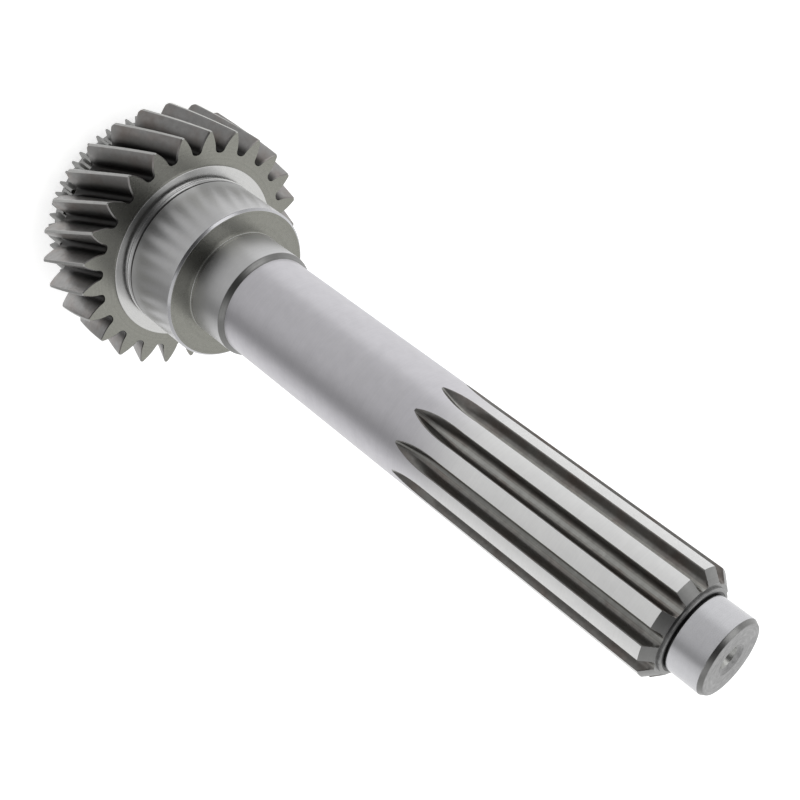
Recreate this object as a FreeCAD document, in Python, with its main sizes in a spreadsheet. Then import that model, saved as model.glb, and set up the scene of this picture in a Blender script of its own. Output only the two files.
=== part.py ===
"""Input pinion of a truck gearbox: one forged and machined steel shaft.

From the rear (Z = 0) to the front the piece has a plain hub with the spigot
bearing bore, a ring of dog teeth, a helical gear with a ground shoulder, the
main bearing seat, the seal neck, a plain shaft, ten parallel-sided splines for
the clutch disc, and the pilot journal that runs in the flywheel.
"""
import FreeCAD, Part
import math
import os

import Sketcher
from FreeCAD import Placement, Rotation, Vector

SIZES = {
    # hub and spigot bearing bore at the rear
    "hub_radius": 39.0,
    "hub_length": 2.6,
    "hub_chamfer": 0.8,
    "bore_radius": 24.0,
    "bore_depth": 30.0,
    "bore_chamfer": 1.5,
    "bore_cone_depth": 6.0,
    # dog teeth for the sliding sleeve
    "dog_count": 56,
    "dog_tip_radius": 45.5,
    "dog_depth": 3.0,
    "dog_length": 9.4,
    "dog_roof": 2.4,
    "dog_ridge": 0.5,
    "dog_space_floor": 1.1,
    "dog_flank_angle": 25.0,
    "dog_phase": 3.6,
    "dog_groove_length": 3.2,
    "dog_groove_radius": 41.6,
    # helical gear, left hand
    "gear_teeth": 25,
    "gear_normal_module": 3.75,
    "gear_pressure_angle": 20.0,
    "gear_helix_angle": 21.5,
    "gear_profile_shift": 0.2,
    "gear_addendum": 5.72,
    "gear_dedendum": 3.98,
    "gear_root_land": 1.6,
    "gear_width": 32.0,
    "gear_front_chamfer": 0.4,
    "gear_rear_chamfer": 1.2,
    "gear_phase": 6.0,
    # ground shoulder, bearing seat and its relief groove
    "shoulder_radius": 40.6,
    "shoulder_height": 0.8,
    "seat_radius": 35.0,
    "seat_length": 30.6,
    "seat_chamfer": 1.0,
    "seat_relief_length": 2.0,
    "seat_relief_depth": 0.6,
    # neck for the shaft seal, and the plain shaft
    "neck_radius": 24.1,
    "neck_length": 19.0,
    "neck_fillet": 1.2,
    "neck_taper": 1.9,
    "shaft_radius": 22.225,
    "plain_length": 102.6,
    # splines
    "spline_count": 10,
    "spline_root_radius": 18.0,
    "spline_tooth_width": 6.93,
    "spline_chamfer": 3.9,
    "spline_full_length": 100.2,
    "cutter_radius": 56.0,
    "cutter_tip_width": 1.6,
    "cutter_flank_angle": 34.0,
    # collar, relief groove and pilot journal
    "collar_radius": 16.9,
    "collar_length": 1.2,
    "pilot_relief_radius": 14.2,
    "pilot_relief_length": 0.6,
    "pilot_radius": 15.0,
    "pilot_length": 14.3,
    "pilot_chamfer_length": 1.6,
    "pilot_chamfer_depth": 0.95,
    # centre hole in the pilot's end
    "centre_drill_radius": 2.0,
    "centre_drill_depth": 11.0,
    "centre_cone_radius": 4.25,
    "centre_guard_radius": 6.25,
    "centre_cone_angle": 30.0,
    "centre_guard_angle": 60.0,
}

# How far a cutting shape reaches past the stock that it cuts, in mm.
OVERCUT = 0.8
# Cross sections along the gear, and points along one involute flank of a section.
GEAR_SECTIONS = 5
FLANK_POINTS = 4
# A flank starts a hair outside the base circle, where the involute begins.
FLANK_START = 1.002
# Cross sections of a spline's run-out, as shares of its length from the full depth.
RUNOUT_STEPS = (0.0, 0.35, 0.7, 1.06)
# The sketcher's numbers for a sketch's own two axes.
H_AXIS = -1
V_AXIS = -2

doc = FreeCAD.newDocument("input_pinion")
sheet = doc.addObject("Spreadsheet::Sheet", "Sizes")
for row, (alias, value) in enumerate(SIZES.items(), start=1):
    sheet.set(f"A{row}", alias)
    sheet.set(f"B{row}", str(value))
    sheet.setAlias(f"B{row}", alias)
doc.recompute()


def size(alias):
    """A driving dimension as it stands in the spreadsheet."""
    return float(sheet.get(alias))


def number(expression):
    """What an expression comes to, as a plain number."""
    found = sheet.evalExpression(expression)
    return float(getattr(found, "Value", found))


# Stations along the axis, each an expression measured from the rear face.
HUB_TOP = "Sizes.hub_length"
DOG_TOP = f"{HUB_TOP} + Sizes.dog_length"
GEAR_REAR = f"{DOG_TOP} + Sizes.dog_groove_length"
GEAR_FRONT = f"{GEAR_REAR} + Sizes.gear_width"
SHOULDER = f"{GEAR_FRONT} + Sizes.shoulder_height"
SEAT_FRONT = f"{SHOULDER} + Sizes.seat_length"
NECK_FRONT = f"{SEAT_FRONT} + Sizes.neck_length"
SHAFT_START = f"{NECK_FRONT} + Sizes.neck_taper"
RUNOUT_LENGTH = ("sqrt(2 * Sizes.cutter_radius * (Sizes.shaft_radius - Sizes.spline_root_radius)"
                 " - (Sizes.shaft_radius - Sizes.spline_root_radius)^2)")
RUNOUT_END = f"{SHAFT_START} + Sizes.plain_length"
RUNOUT_START = f"{RUNOUT_END} + {RUNOUT_LENGTH}"
SPLINE_FRONT = f"{RUNOUT_START} + Sizes.spline_full_length"
COLLAR_FRONT = f"{SPLINE_FRONT} + Sizes.collar_length"
PILOT_START = f"{COLLAR_FRONT} + Sizes.pilot_relief_length"
PILOT_FRONT = f"{PILOT_START} + Sizes.pilot_length"
# The gear's circles, from its teeth and its normal module.
GEAR_PITCH = "(Sizes.gear_teeth * Sizes.gear_normal_module / cos(Sizes.gear_helix_angle) / 2)"
GEAR_TIP = f"({GEAR_PITCH} + Sizes.gear_addendum)"
GEAR_ROOT = f"({GEAR_PITCH} - Sizes.gear_dedendum)"
# The angle of a tooth space of the gear, at its front face and at its rear face.
SPACE_FRONT = "Sizes.gear_phase + 180 / Sizes.gear_teeth"
TWIST = ("2 * sin(Sizes.gear_helix_angle) / (Sizes.gear_teeth * Sizes.gear_normal_module)"
         " * 180 / pi")
SPACE_REAR = f"{SPACE_FRONT} + Sizes.gear_width * {TWIST}"


def origin_plane(body, role):
    return next(item for item in body.Origin.OriginFeatures if item.Role == role)


def new_sketch(body, name, role, height=None, turn=None):
    """A sketch on one of the body's own planes, lifted and turned about the shaft by expressions."""
    shaft_axis = Vector(0, 0, 1) if role == "XY_Plane" else Vector(0, 1, 0)
    sketch = body.newObject("Sketcher::SketchObject", name)
    sketch.AttachmentSupport = [(origin_plane(body, role), "")]
    sketch.MapMode = "FlatFace"
    sketch.AttachmentOffset = Placement(Vector(0, 0, 0), Rotation(shaft_axis, 1))
    sketch.setExpression("AttachmentOffset.Rotation.Angle", turn or "0")
    if height:
        sketch.setExpression("AttachmentOffset.Base.z", height)
    return sketch


def fix_coordinate(sketch, kind, line, end, expression):
    """Hold one coordinate of a sketch point at what the expression gives."""
    if expression == "0":
        axis = V_AXIS if kind == "DistanceX" else H_AXIS
        sketch.addConstraint(Sketcher.Constraint("PointOnObject", line, end, axis))
        return
    held = Sketcher.Constraint(kind, H_AXIS, 1, line, end, number(expression))
    index = sketch.addConstraint(held)
    sketch.setExpression(f"Constraints[{index}]", expression)


def fix_point(sketch, line, end, across, along):
    """Hold one end of a sketch line at the place that two expressions give."""
    fix_coordinate(sketch, "DistanceX", line, end, across)
    fix_coordinate(sketch, "DistanceY", line, end, along)


def closed_outline(sketch, corners, fillets=None):
    """Lines through the corners, each corner a pair of expressions.

    fillets gives the centre of the arc that leaves a corner in place of a line.
    """
    fillets = fillets or {}
    points = [Vector(number(across), number(along), 0) for across, along in corners]
    starts, ends = {}, {}
    for index, start in enumerate(points):
        end = points[(index + 1) % len(points)]
        starts[index], ends[index] = 1, 2
        if index not in fillets:
            sketch.addGeometry(Part.LineSegment(start, end), False)
            continue
        centre = Vector(*(number(expression) for expression in fillets[index]), 0)
        first, second = start - centre, end - centre
        if first.cross(second).z < 0:
            starts[index], ends[index] = 2, 1
            first, second = second, first
        circle = Part.Circle(centre, Vector(0, 0, 1), first.Length)
        angles = [math.atan2(spoke.y, spoke.x) for spoke in (first, second)]
        sketch.addGeometry(Part.ArcOfCircle(circle, *angles), False)
    for index in range(len(points)):
        following = (index + 1) % len(points)
        joined = Sketcher.Constraint("Coincident", index, ends[index], following, starts[following])
        sketch.addConstraint(joined)
    for index, (across, along) in enumerate(corners):
        fix_point(sketch, index, starts[index], across, along)
    for index, (across, _) in fillets.items():
        fix_coordinate(sketch, "DistanceX", index, 3, across)


def turned(body, kind, name, sketch):
    """A revolution or a groove of the sketch about the shaft's axis."""
    feature = body.newObject(f"PartDesign::{kind}", name)
    feature.Profile = sketch
    feature.ReferenceAxis = (sketch, ["V_Axis"])
    feature.Angle = 360.0
    return feature


def repeated(body, name, originals, count):
    """The cuts again and again round the shaft's axis."""
    pattern = body.newObject("PartDesign::PolarPattern", name)
    pattern.Originals = originals
    pattern.Axis = (origin_plane(body, "Z_Axis"), [""])
    pattern.Angle = 360.0
    pattern.setExpression("Occurrences", count)
    body.Tip = pattern
    return pattern


def turn_blank(body):
    """The whole outline of the shaft, without the gear's rim, before any tooth or spline is cut."""
    corners = [
        ("0", "0"),
        ("Sizes.hub_radius - Sizes.hub_chamfer", "0"),
        ("Sizes.hub_radius", "Sizes.hub_chamfer"),
        ("Sizes.hub_radius", HUB_TOP),
        ("Sizes.dog_tip_radius", HUB_TOP),
        ("Sizes.dog_tip_radius", DOG_TOP),
        ("Sizes.dog_groove_radius", DOG_TOP),
        ("Sizes.dog_groove_radius", GEAR_REAR),
        ("Sizes.shoulder_radius", GEAR_REAR),
        ("Sizes.shoulder_radius", SHOULDER),
        ("Sizes.seat_radius - Sizes.seat_relief_depth", SHOULDER),
        ("Sizes.seat_radius - Sizes.seat_relief_depth", f"{SHOULDER} + Sizes.seat_relief_length"),
        ("Sizes.seat_radius", f"{SHOULDER} + Sizes.seat_relief_length + Sizes.seat_relief_depth"),
        ("Sizes.seat_radius", f"{SEAT_FRONT} - Sizes.seat_chamfer"),
        ("Sizes.seat_radius - Sizes.seat_chamfer", SEAT_FRONT),
        ("Sizes.neck_radius + Sizes.neck_fillet", SEAT_FRONT),
        ("Sizes.neck_radius", f"{SEAT_FRONT} + Sizes.neck_fillet"),
        ("Sizes.neck_radius", NECK_FRONT),
        ("Sizes.shaft_radius", SHAFT_START),
        ("Sizes.shaft_radius", f"{SPLINE_FRONT} - Sizes.spline_chamfer"),
        ("Sizes.shaft_radius - Sizes.spline_chamfer", SPLINE_FRONT),
        ("Sizes.collar_radius", SPLINE_FRONT),
        ("Sizes.collar_radius", COLLAR_FRONT),
        ("Sizes.pilot_relief_radius", COLLAR_FRONT),
        ("Sizes.pilot_relief_radius", PILOT_START),
        ("Sizes.pilot_radius", PILOT_START),
        ("Sizes.pilot_radius", f"{PILOT_FRONT} - Sizes.pilot_chamfer_length"),
        ("Sizes.pilot_radius - Sizes.pilot_chamfer_depth", PILOT_FRONT),
        ("0", PILOT_FRONT),
    ]
    neck_foot = ("Sizes.neck_radius + Sizes.neck_fillet", SEAT_FRONT)
    neck_centre = ("Sizes.neck_radius + Sizes.neck_fillet", f"{SEAT_FRONT} + Sizes.neck_fillet")
    sketch = new_sketch(body, "blank_outline", "XZ_Plane")
    closed_outline(sketch, corners, {corners.index(neck_foot): neck_centre})
    return turned(body, "Revolution", "turned_blank", sketch)


def bore_spigot(body):
    """The blind bore at the rear, where the main shaft's spigot bearing runs."""
    corners = [
        ("0", "0"),
        ("Sizes.bore_radius + Sizes.bore_chamfer", "0"),
        ("Sizes.bore_radius", "Sizes.bore_chamfer"),
        ("Sizes.bore_radius", "Sizes.bore_depth"),
        ("0", "Sizes.bore_depth + Sizes.bore_cone_depth"),
    ]
    sketch = new_sketch(body, "spigot_outline", "XZ_Plane")
    closed_outline(sketch, corners)
    return turned(body, "Groove", "spigot_bore", sketch)


def drill_centre(body):
    """The protected centre hole in the pilot's end."""
    guard_depth = "(Sizes.centre_guard_radius - Sizes.centre_cone_radius) / tan(Sizes.centre_guard_angle)"
    cone_depth = "(Sizes.centre_cone_radius - Sizes.centre_drill_radius) / tan(Sizes.centre_cone_angle)"
    cone_top = f"{PILOT_FRONT} - {guard_depth}"
    corners = [
        ("0", PILOT_FRONT),
        ("0", f"{PILOT_FRONT} - Sizes.centre_drill_depth"),
        ("Sizes.centre_drill_radius", f"{PILOT_FRONT} - Sizes.centre_drill_depth"),
        ("Sizes.centre_drill_radius", f"{cone_top} - {cone_depth}"),
        ("Sizes.centre_cone_radius", cone_top),
        ("Sizes.centre_guard_radius", PILOT_FRONT),
    ]
    sketch = new_sketch(body, "centre_outline", "XZ_Plane")
    closed_outline(sketch, corners)
    return turned(body, "Groove", "centre_hole", sketch)


def wedge_sketch(body, name, height, floor, half_floor, half_top, top, turn=None):
    """A space between two teeth: narrow floor, wide top, mirrored about its own X axis."""
    sketch = new_sketch(body, name, "XY_Plane", height, turn)
    closed_outline(sketch, [
        (floor, f"-({half_floor})"),
        (top, f"-({half_top})"),
        (top, half_top),
        (floor, half_floor),
    ])
    return sketch


def cut_splines(body):
    """Ten spaces, each a straight run and the hob's run-out up to the plain shaft."""
    half_tooth = "Sizes.spline_tooth_width / 2"
    half_pitch = "180 deg / Sizes.spline_count"
    top = f"Sizes.shaft_radius + {OVERCUT}"
    root = "Sizes.spline_root_radius"
    lean = f"tan({half_pitch})"
    # The flank lies half a tooth away from the neighbouring tooth's middle plane.
    root_half = f"({root} * sin({half_pitch} - asin({half_tooth} / {root})))"
    root_across = f"sqrt({root}^2 - {root_half}^2)"
    straight = wedge_sketch(body, "spline_space", SPLINE_FRONT, root_across, root_half,
                            f"{root_half} + ({top} - {root_across}) * {lean}", top)
    run = body.newObject("PartDesign::Pocket", "spline_run")
    run.Profile = straight
    run.setExpression("Length", "Sizes.spline_full_length")

    sections = []
    for index, step in enumerate(RUNOUT_STEPS):
        back = f"({step} * {RUNOUT_LENGTH})"
        lift = f"(Sizes.cutter_radius - sqrt(Sizes.cutter_radius^2 - {back}^2))"
        share = f"sin(90 * {min(step, 1.0)})"
        half_floor = f"({root_half} - {share} * ({root_half} - Sizes.cutter_tip_width / 2))"
        slope = f"tan({half_pitch} + {share} * (Sizes.cutter_flank_angle * 1 deg - {half_pitch}))"
        floor = f"({root_across} + {lift})"
        half_top = f"{half_floor} + ({top} - {floor}) * {slope}"
        sections.append(wedge_sketch(body, f"runout_{index}", f"{RUNOUT_START} - {back}",
                                     floor, half_floor, half_top, top))
    runout = body.newObject("PartDesign::SubtractiveLoft", "spline_runout")
    runout.Profile = sections[0]
    runout.Sections = sections[1:]
    runout.Ruled = False
    return repeated(body, "splines", [run, runout], "Sizes.spline_count")


def cut_dog_teeth(body):
    """Small teeth with roofed rear ends, which lead the sliding sleeve in."""
    root = "(Sizes.dog_tip_radius - Sizes.dog_depth)"
    top = f"(Sizes.dog_tip_radius + {OVERCUT})"
    half_floor = "Sizes.dog_space_floor / 2"
    half_top = f"{half_floor} + ({top} - {root}) * tan(Sizes.dog_flank_angle)"
    turn = "Sizes.dog_phase + 180 / Sizes.dog_count"
    straight = wedge_sketch(body, "dog_space", f"{DOG_TOP} + Sizes.dog_groove_length / 2",
                            root, half_floor, half_top, top, turn)
    run = body.newObject("PartDesign::Pocket", "dog_run")
    run.Profile = straight
    run.setExpression("Length", f"Sizes.dog_length + Sizes.dog_groove_length / 2 + {OVERCUT}")

    # The notch seen along a radius: wide between two ridges, narrow where the space is full.
    half_mouth = f"({root} * tan(180 deg / Sizes.dog_count) - Sizes.dog_ridge / 2)"
    notch = new_sketch(body, "dog_notch", "YZ_Plane", root, turn)
    closed_outline(notch, [
        (f"-{half_mouth}", HUB_TOP),
        (half_mouth, HUB_TOP),
        (half_floor, f"{HUB_TOP} + Sizes.dog_roof"),
        (f"-({half_floor})", f"{HUB_TOP} + Sizes.dog_roof"),
    ])
    roof = body.newObject("PartDesign::Pocket", "dog_roof")
    roof.Profile = notch
    roof.Reversed = True
    roof.setExpression("Length", f"Sizes.dog_depth + {OVERCUT}")
    return repeated(body, "dog_teeth", [run, roof], "Sizes.dog_count")


def involute(angle):
    """tan(a) - a, with the angle in radians."""
    return math.tan(angle) - angle


def gear_curves():
    """The gear's outline across its axis: flank, crest, flank and root of each tooth in turn.

    A root is a land on the root circle with a short slope up to the foot of each flank.
    """
    teeth = int(size("gear_teeth"))
    helix = math.radians(size("gear_helix_angle"))
    normal = math.radians(size("gear_pressure_angle"))
    pitch_radius, tip, root = number(GEAR_PITCH), number(GEAR_TIP), number(GEAR_ROOT)
    transverse = math.atan(math.tan(normal) / math.cos(helix))
    base_radius = pitch_radius * math.cos(transverse)
    shift = 2 * size("gear_profile_shift") * math.tan(normal)
    base_half = (math.pi / 2 + shift) / teeth + involute(transverse)
    low = max(base_radius, root) * FLANK_START
    steps = [low + (tip - low) * index / (FLANK_POINTS - 1) for index in range(FLANK_POINTS)]

    def at(radius, angle):
        return Vector(radius * math.cos(angle), radius * math.sin(angle), 0)

    def half_width(radius):
        return base_half - involute(math.acos(base_radius / radius))

    curves = []
    half_pitch = math.pi / teeth
    half_land = size("gear_root_land") / root / 2
    for tooth in range(teeth):
        middle = 2 * half_pitch * tooth
        space = middle + half_pitch
        rising, falling = Part.BSplineCurve(), Part.BSplineCurve()
        rising.interpolate([at(radius, middle - half_width(radius)) for radius in steps])
        falling.interpolate([at(radius, middle + half_width(radius)) for radius in steps[::-1]])
        crest = Part.Arc(rising.EndPoint, at(tip, middle), falling.StartPoint)
        land = Part.Arc(at(root, space - half_land), at(root, space), at(root, space + half_land))
        next_foot = at(low, middle + 2 * half_pitch - half_width(low))
        slopes = (Part.LineSegment(falling.EndPoint, land.StartPoint),
                  Part.LineSegment(land.EndPoint, next_foot))
        curves += [rising, crest, falling, slopes[0], land, slopes[1]]
    return curves


def loft_gear(body):
    """Left-hand helical teeth: the gear's outline turns as it goes back along the axis."""
    sections = []
    for index in range(GEAR_SECTIONS):
        drop = f"({index / (GEAR_SECTIONS - 1)} * Sizes.gear_width)"
        sketch = new_sketch(body, f"gear_section_{index}", "XY_Plane", f"{GEAR_FRONT} - {drop}",
                            f"Sizes.gear_phase + {drop} * {TWIST}")
        sketch.addGeometry(gear_curves(), False)
        sections.append(sketch)
    gear = body.newObject("PartDesign::AdditiveLoft", "helical_gear")
    gear.Profile = sections[0]
    gear.Sections = sections[1:]
    gear.Ruled = True
    return gear


def bevel_gear(body, name, face, bevel, outward, turn):
    """A turned bevel on the tips of the teeth, on the gear's front face or its rear face."""
    far = f"{GEAR_TIP} + {OVERCUT}"
    clear = f"{face} {outward} {OVERCUT}"
    inward = "-" if outward == "+" else "+"
    sketch = new_sketch(body, f"{name}_outline", "XZ_Plane", turn=turn)
    closed_outline(sketch, [
        (f"{GEAR_TIP} - {bevel}", face),
        (far, f"{face} {inward} ({bevel} + {OVERCUT})"),
        (far, clear),
        (f"{GEAR_TIP} - {bevel}", clear),
    ])
    return turned(body, "Groove", name, sketch)


def bevel_front(body):
    return bevel_gear(body, "front_bevel", GEAR_FRONT, "Sizes.gear_front_chamfer", "+", SPACE_FRONT)


def bevel_rear(body):
    return bevel_gear(body, "rear_bevel", GEAR_REAR, "Sizes.gear_rear_chamfer", "-", SPACE_REAR)


def check_states():
    """Stop if an object of the document failed."""
    for item in doc.Objects:
        if {"Invalid", "Error"} & set(item.State):
            raise RuntimeError(f"{item.Name}: {item.State}")


body = doc.addObject("PartDesign::Body", "input_pinion")
body.Label = "input_pinion"
volume = 0.0
for step, grows in ((turn_blank, True), (cut_splines, False), (drill_centre, False),
                    (cut_dog_teeth, False), (loft_gear, True), (bevel_front, False),
                    (bevel_rear, False), (bore_spigot, False)):
    feature = step(body)
    doc.recompute()
    check_states()
    if (body.Shape.Volume > volume) != grows:
        raise RuntimeError(f"{feature.Name} changed the volume the wrong way")
    volume = body.Shape.Volume
    print(f"{feature.Name}: {volume / 1000:.2f} cm3, {len(body.Shape.Faces)} faces")

shape = body.Shape
if shape.isNull() or not shape.isValid() or len(shape.Solids) != 1:
    raise RuntimeError("the pinion isn't one valid solid")
os.makedirs("parts", exist_ok=True)
shape.exportStep("parts/input_pinion.step")
print("height", round(shape.BoundBox.ZLength, 3), "mm, width", round(shape.BoundBox.XLength, 3), "mm")
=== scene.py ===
# %% [markdown]
# A gearbox input pinion, dressed for its picture
#
# The part is one forged steel shaft. A helical gear and a ring of small dog teeth sit at
# its rear end, then come a wide bearing seat, a neck for the seal, a long plain shaft,
# ten clutch splines and a pilot journal. The imported CAD model already has the right
# sizes, but its mesh is coarse: a machined edge catches light only if it has a small
# radius, and a coarse tooth shows its facets. So this lesson rebuilds each stretch of the
# shaft as a fine surface, written as a formula of two parameters, and gives every kind of
# machining its own finish.
# Some finishes also carry painted light: shade in grooves, holes, spline spaces and at the tooth roots,
# and highlights on small edges and fillets.

# %% Frame
import math

import bpy
import numpy as np
from mathutils import Matrix, Vector


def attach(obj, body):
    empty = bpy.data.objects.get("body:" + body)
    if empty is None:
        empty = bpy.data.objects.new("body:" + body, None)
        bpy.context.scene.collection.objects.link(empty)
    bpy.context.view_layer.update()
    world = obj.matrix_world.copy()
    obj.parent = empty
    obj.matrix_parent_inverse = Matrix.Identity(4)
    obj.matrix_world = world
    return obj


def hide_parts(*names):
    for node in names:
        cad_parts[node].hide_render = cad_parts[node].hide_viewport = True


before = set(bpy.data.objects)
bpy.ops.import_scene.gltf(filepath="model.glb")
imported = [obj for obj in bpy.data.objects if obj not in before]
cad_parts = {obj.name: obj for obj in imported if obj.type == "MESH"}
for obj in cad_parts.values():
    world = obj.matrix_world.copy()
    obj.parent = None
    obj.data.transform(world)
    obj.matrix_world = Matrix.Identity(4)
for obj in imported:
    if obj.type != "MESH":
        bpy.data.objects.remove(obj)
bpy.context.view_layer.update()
print("nodes in the frame:", len(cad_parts))

# %% [markdown]
# Sizes
#
# All sizes are in millimetres, as on a workshop drawing, and the meshes are scaled to
# metres at the very end. Heights are measured from the rear face, where the shaft stands.
# Each station is the one before it plus a length, so that nothing is written twice.

# %% Sizes of the gear's end
MM = 0.001

HUB_RADIUS, HUB_TOP = 39.0, 2.6
BORE_RADIUS, BORE_DEPTH, BORE_CONE = 24.0, 30.0, 6.0
DOG_TIP, DOG_DEPTH, DOG_COUNT = 45.5, 3.0, 56
DOG_TOP = HUB_TOP + 9.4
GROOVE_RADIUS = 41.6
GEAR_REAR = DOG_TOP + 3.2
GEAR_FRONT = GEAR_REAR + 32.0
SHOULDER_RADIUS, SHOULDER = 40.6, GEAR_FRONT + 0.8
SEAT_RADIUS, SEAT_FRONT, SEAT_CHAMFER = 35.0, SHOULDER + 30.6, 1.0
print("gear from", round(GEAR_REAR, 2), "to", round(GEAR_FRONT, 2))

# %% [markdown]
# The splines are cut with a round milling cutter, so each space ends in a run-out. The
# cutter's circle gives its length: a chord at the depth of the space.

# %% Sizes of the shaft's end
NECK_RADIUS, NECK_FRONT = 24.1, SEAT_FRONT + 19.0
SHAFT_RADIUS, SHAFT_START = 22.225, NECK_FRONT + 1.9
SPLINE_ROOT, SPLINE_TOOTH, SPLINE_COUNT = 18.0, 6.93, 10
CUTTER_RADIUS = 56.0
SPLINE_DEPTH = SHAFT_RADIUS - SPLINE_ROOT
RUNOUT_LENGTH = math.sqrt(2 * CUTTER_RADIUS * SPLINE_DEPTH - SPLINE_DEPTH ** 2)
RUNOUT_START = SHAFT_START + 102.6 + RUNOUT_LENGTH
SPLINE_FRONT = RUNOUT_START + 100.2
SPLINE_CHAMFER = 3.9
COLLAR_RADIUS, COLLAR_FRONT = 16.9, SPLINE_FRONT + 1.2
PILOT_RADIUS, PILOT_START = 15.0, COLLAR_FRONT + 0.6
PILOT_FRONT = PILOT_START + 14.3
print("overall length in mm:", round(PILOT_FRONT, 3))

# %% [markdown]
# Camera
#
# The photograph looks along the shaft from the pilot's end, with the camera tipped
# sideways, so that the upright shaft lies across the frame. Where the camera stands, what
# it looks at and its roll were found by fitting a pinhole camera to the round edges. A
# Track To constraint could aim it, but a plain matrix also holds the roll.

# %% Camera
CAMERA_PLACE = (-80.07, -422.36, 461.01)
CAMERA_TARGET = (-2.32, 0.43, 179.82)
CAMERA_ROLL = 127.1155
CAMERA_LENS = 60.313
NEAREST_SEEN = 0.01


def put(name, data):
    """A new object with this data, linked to the scene."""
    made = bpy.data.objects.new(name, data)
    bpy.context.scene.collection.objects.link(made)
    return made


def aim_camera(place, target, roll, lens):
    """A camera whose view axis runs from place to target, turned about that axis by roll."""
    data = bpy.data.cameras.new("camera")
    data.lens = lens
    data.clip_start = NEAREST_SEEN
    camera = put("camera", data)
    place, target = Vector(place) * MM, Vector(target) * MM
    ahead = (target - place).normalized()
    level_right = ahead.cross(Vector((0, 0, 1))).normalized()
    level_up = level_right.cross(ahead)
    turn = math.radians(roll)
    up = math.cos(turn) * level_up - math.sin(turn) * level_right
    right = math.cos(turn) * level_right + math.sin(turn) * level_up
    axes = Matrix((right, up, -ahead)).transposed().to_4x4()
    camera.matrix_world = Matrix.Translation(place) @ axes
    bpy.context.scene.camera = camera
    return camera


camera = aim_camera(CAMERA_PLACE, CAMERA_TARGET, CAMERA_ROLL, CAMERA_LENS)
bpy.context.scene.view_settings.view_transform = "Standard"
print("camera at", [round(value, 4) for value in camera.location])

# %% [markdown]
# Nodes with less typing
#
# A material is a small graph. This helper adds one node, sets its properties and feeds
# its inputs, each with a plain value or with another node's output.


# %% Node helper
def add(tree, kind, inputs=None, **settings):
    """A new shader node. inputs maps socket names or numbers to values or to output sockets."""
    made = tree.nodes.new("ShaderNode" + kind)
    for key, value in settings.items():
        setattr(made, key, value)
    for key, value in (inputs or {}).items():
        if isinstance(value, bpy.types.NodeSocket):
            tree.links.new(value, made.inputs[key])
        else:
            made.inputs[key].default_value = value
    return made


def blank_tree(owner):
    """The owner's node tree, emptied."""
    owner.use_nodes = True
    owner.node_tree.nodes.clear()
    return owner.node_tree


# %% [markdown]
# A white studio
#
# The photograph has a white background and broad soft light. A bare world would do, but
# polished steel shows what stands round it, so the look is made by what it can reflect.
# The world is white where the camera and the reflections look, and dimmer as a light.

# %% White world
WORLD_LIGHT = 0.8


def seen_directly(tree):
    """1 for camera, glossy and transmission rays, and 0 for the rest."""
    path = add(tree, "LightPath")
    rays = ("Is Camera Ray", "Is Glossy Ray", "Is Transmission Ray")
    total = path.outputs[rays[0]]
    for name in rays[1:]:
        total = add(tree, "Math", {0: total, 1: path.outputs[name]}, operation="ADD").outputs[0]
    return add(tree, "Math", {0: total, 1: 1.0}, operation="MINIMUM").outputs[0]


def white_world():
    """Strength 1 where it is seen directly, and WORLD_LIGHT where it lights the scene."""
    world = bpy.data.worlds.new("studio")
    bpy.context.scene.world = world
    tree = blank_tree(world)
    strength = add(tree, "MapRange", {0: seen_directly(tree), 3: WORLD_LIGHT, 4: 1.0})
    back = add(tree, "Background", {"Color": (1, 1, 1, 1), "Strength": strength.outputs[0]})
    add(tree, "OutputWorld", {"Surface": back.outputs[0]})


white_world()
print("world:", bpy.context.scene.world.name)

# %% [markdown]
# The floor
#
# The shaft stands on a pale floor, which takes its shadow. A floor lit from above comes
# out a little grey, so it is lifted to white in the same way as the world: it glows, but
# only where the camera and the reflections look at it, and so it lights nothing.

# %% Pale floor
FLOOR_COLOUR = 0.8
FLOOR_LIFT = 0.62
FLOOR_REACH = 6.0


def pale_floor():
    """A square at height 0 with its glow added to a diffuse surface."""
    sides = ((-1, -1), (1, -1), (1, 1), (-1, 1))
    corners = [(x * FLOOR_REACH, y * FLOOR_REACH, 0) for x, y in sides]
    mesh = bpy.data.meshes.new("floor")
    mesh.from_pydata(corners, [], [(0, 1, 2, 3)])
    floor = put("floor", mesh)
    material = bpy.data.materials.new("floor_white")
    tree = blank_tree(material)
    matte = add(tree, "BsdfDiffuse", {"Color": (FLOOR_COLOUR,) * 3 + (1,)})
    lift = add(tree, "Math", {0: seen_directly(tree), 1: FLOOR_LIFT}, operation="MULTIPLY")
    glow = add(tree, "Emission", {"Color": (1, 1, 1, 1), "Strength": lift.outputs[0]})
    both = add(tree, "AddShader", {0: matte.outputs[0], 1: glow.outputs[0]})
    add(tree, "OutputMaterial", {"Surface": both.outputs[0]})
    mesh.materials.append(material)
    print("floor reaches", FLOOR_REACH, "m")


pale_floor()

# %% [markdown]
# Lamps
#
# Two large lamps model the form. Each is given by the direction it shines from, seen from
# the middle of the shaft, so that it can be moved round the part like a lamp on a stand.

# %% Lamps
LAMP_TARGET = Vector((0, 0, 0.15))


def soft_lamp(name, azimuth, elevation, distance, size, power):
    """A square area lamp that faces the shaft. Azimuth 0 is +X and 90 is +Y."""
    data = bpy.data.lights.new(name, "AREA")
    data.size = size
    data.energy = power
    lamp = put(name, data)
    turn, rise = math.radians(azimuth), math.radians(elevation)
    level = math.cos(rise)
    away = Vector((math.cos(turn) * level, math.sin(turn) * level, math.sin(rise)))
    lamp.location = LAMP_TARGET + away * distance
    lamp.rotation_euler = away.to_track_quat("Z", "Y").to_euler()
    print(name, "gives", power, "W")


soft_lamp("key_lamp", azimuth=200.0, elevation=45.0, distance=1.2, size=0.7, power=1.5)
soft_lamp("fill_lamp", azimuth=-40.0, elevation=30.0, distance=1.3, size=0.8, power=0.8)

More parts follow.
